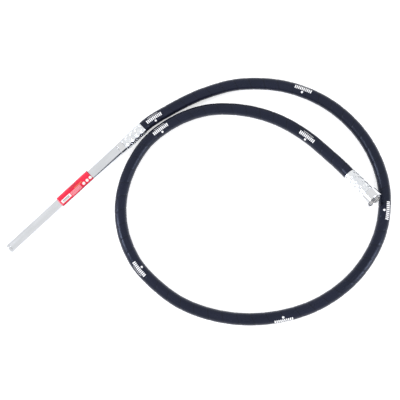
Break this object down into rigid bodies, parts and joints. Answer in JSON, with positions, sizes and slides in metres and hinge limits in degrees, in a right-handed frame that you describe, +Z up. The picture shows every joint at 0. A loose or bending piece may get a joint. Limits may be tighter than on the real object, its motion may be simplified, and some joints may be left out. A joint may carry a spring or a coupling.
{
  "type": "concrete vibrator",
  "caption": "Steel vibrating head on a flexible rubber drive hose with crimped ferrules and a screwed drive coupling, laid in one loose loop.",
  "frame": {"origin": "under the middle of the vibrating head, on the surface that the head and hose lie on", "axes": "+X along the head from its tip to the hose, +Z up; the hose's loop lies to -Y"},
  "size_m": [0.6861, 0.5358, 0.0523],
  "materials": {
    "head_steel": "polished",
    "collar_steel": "turned, zinc plated",
    "zinc_steel": "turned, zinc plated",
    "ferrule_zinc": "pressed, zinc plated",
    "bearing_steel": "ground",
    "dark_steel": "oiled, machined",
    "bronze": "sintered",
    "hose_rubber": "cloth-wrapped cure, satin",
    "seal_rubber": "satin",
    "label_film": "glossy film",
    "cage_polymer": "matte"
  },
  "bodies": {
    "head": {"tip_cap": "head_steel", "head_tube": "head_steel", "name_label": "label_film", "front_spacer": "bearing_steel", "front_bearing_outer_ring": "bearing_steel", "rear_bearing_outer_ring": "bearing_steel", "rear_circlip": "dark_steel", "oil_seal": "seal_rubber", "rear_adaptor": "zinc_steel", "head_o_ring": "seal_rubber", "head_ferrule": "ferrule_zinc", "hose": "hose_rubber", "hose_liner": "zinc_steel", "flexible_core": "dark_steel", "drive_stem": "zinc_steel", "drive_ferrule": "ferrule_zinc", "spigot_bush": "bronze", "thrust_washer": "bronze", "coupling_gasket": "seal_rubber"},
    "rotor": {"eccentric_rotor": "dark_steel", "shaft_coupling": "dark_steel", "front_bearing_inner_ring": "bearing_steel", "rear_bearing_inner_ring": "bearing_steel"},
    "front_cage": {"front_bearing_cage": "cage_polymer", "front_ball_1": "bearing_steel", "front_ball_2": "bearing_steel", "front_ball_3": "bearing_steel", "front_ball_4": "bearing_steel", "front_ball_5": "bearing_steel", "front_ball_6": "bearing_steel", "front_ball_7": "bearing_steel"},
    "rear_cage": {"rear_bearing_cage": "cage_polymer", "rear_ball_1": "bearing_steel", "rear_ball_2": "bearing_steel", "rear_ball_3": "bearing_steel", "rear_ball_4": "bearing_steel", "rear_ball_5": "bearing_steel", "rear_ball_6": "bearing_steel", "rear_ball_7": "bearing_steel"},
    "collar": {"collar_nut": "collar_steel"},
    "spigot": {"drive_spigot": "dark_steel"}
  },
  "joints": [
    {"name": "rotor_spin", "type": "hinge", "parent": "head", "child": "rotor", "pos_m": [0, 0, 0.014], "axis": [1, 0, 0], "continuous": true},
    {"name": "front_cage_spin", "type": "hinge", "parent": "head", "child": "front_cage", "pos_m": [-0.1557, 0, 0.014], "axis": [1, 0, 0], "continuous": true},
    {"name": "rear_cage_spin", "type": "hinge", "parent": "head", "child": "rear_cage", "pos_m": [0.022, 0, 0.014], "axis": [1, 0, 0], "continuous": true},
    {"name": "spigot_spin", "type": "hinge", "parent": "head", "child": "spigot", "pos_m": [0.40701, -0.42847, 0.03466], "axis": [-0.0894, -0.9634, 0.2529], "continuous": true},
    {"name": "collar_spin", "type": "hinge", "parent": "head", "child": "collar", "pos_m": [0.40701, -0.42847, 0.03466], "axis": [-0.0894, -0.9634, 0.2529], "continuous": true}
  ],
  "couplings": [
    {"joint": "front_cage_spin", "follows": "rotor_spin", "ratio": 0.3913},
    {"joint": "rear_cage_spin", "follows": "rotor_spin", "ratio": 0.3913},
    {"joint": "spigot_spin", "follows": "rotor_spin", "ratio": 1}
  ]
}
